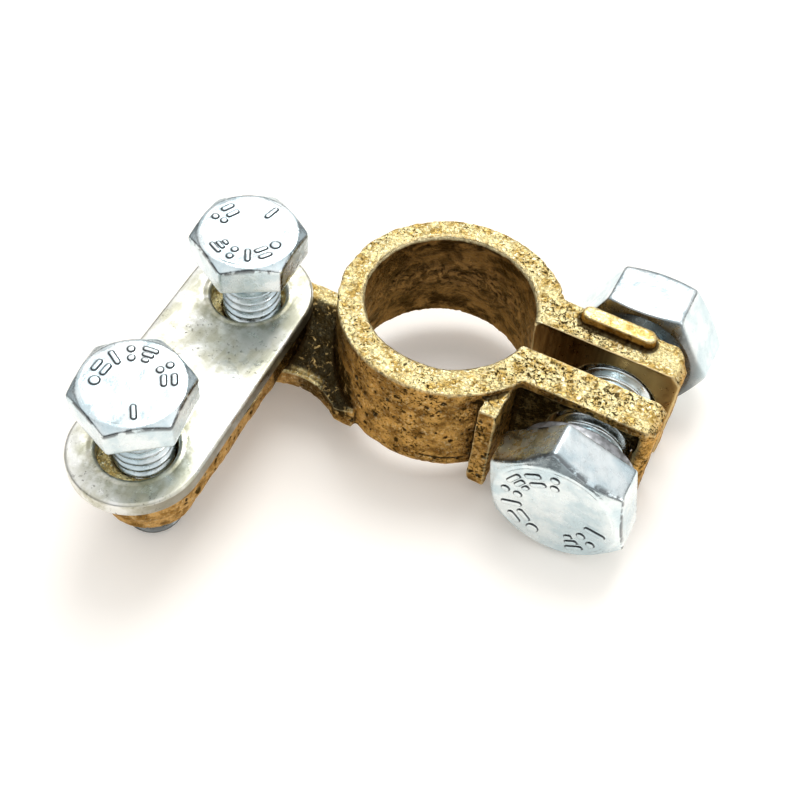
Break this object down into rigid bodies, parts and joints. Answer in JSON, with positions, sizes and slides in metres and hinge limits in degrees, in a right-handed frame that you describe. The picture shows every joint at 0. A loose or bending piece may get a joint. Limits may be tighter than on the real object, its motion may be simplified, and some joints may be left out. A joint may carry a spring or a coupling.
{
  "type": "battery post ground clamp",
  "caption": "Cast brass split-ring clamp for a car battery's negative post, with a bolted steel plate that holds the ground cable.",
  "frame": {"origin": "on the axis of the post bore, in the plane of the ring's lower face, where the battery post enters", "axes": "+Z along the bore axis, up off the battery post; +X from the bore along the ears; the pinch bolt lies along Y with its head at -Y; the cable lies along X on the saddle at -X and -Y"},
  "size_m": [0.0511, 0.0497, 0.0217],
  "materials": {
    "brass": "rough cast brass, brighter on the edges and top faces, dark in the pits",
    "plate_steel": "satin rolled steel with a faint yellowish passivation",
    "zinc": "bright bluish zinc plate",
    "washer_steel": "dull grey zinc plate"
  },
  "bodies": {
    "clamp_body": {"clamp_casting": "brass"},
    "plate_body": {"cable_clamp_plate": "plate_steel"},
    "front_bolt_body": {"cable_bolt_front": "zinc"},
    "rear_bolt_body": {"cable_bolt_rear": "zinc"},
    "pinch_bolt_body": {"pinch_bolt": "zinc"},
    "pinch_nut_body": {"pinch_nut": "zinc"},
    "washer_body": {"pinch_spring_washer": "washer_steel"}
  },
  "joints": [
    {"name": "plate_lift", "type": "slide", "parent": "clamp_body", "child": "plate_body", "axis": [0, 0, 1], "range_m": [0, 0.0048]},
    {"name": "cable_bolt_front_travel", "type": "slide", "parent": "clamp_body", "child": "front_bolt_body", "axis": [0, 0, 1], "range_m": [-0.0052, 0.0076]},
    {"name": "cable_bolt_rear_travel", "type": "slide", "parent": "clamp_body", "child": "rear_bolt_body", "axis": [0, 0, 1], "range_m": [-0.0056, 0.007]},
    {"name": "pinch_bolt_turn", "type": "hinge", "parent": "clamp_body", "child": "pinch_bolt_body", "pos_m": [0.0176, -0.0089, 0.00575], "axis": [0, -1, 0], "range_deg": [-540, 2160]},
    {"name": "pinch_nut_travel", "type": "slide", "parent": "clamp_body", "child": "pinch_nut_body", "axis": [0, 1, 0], "range_m": [-0.00188, 0.0076]},
    {"name": "spring_washer_play", "type": "slide", "parent": "clamp_body", "child": "washer_body", "axis": [0, 1, 0], "range_m": [0, 0.0014]}
  ],
  "couplings": [
    {"joint": "pinch_nut_travel", "follows": "pinch_bolt_turn", "m_per_rad": 0.00019894}
  ]
}
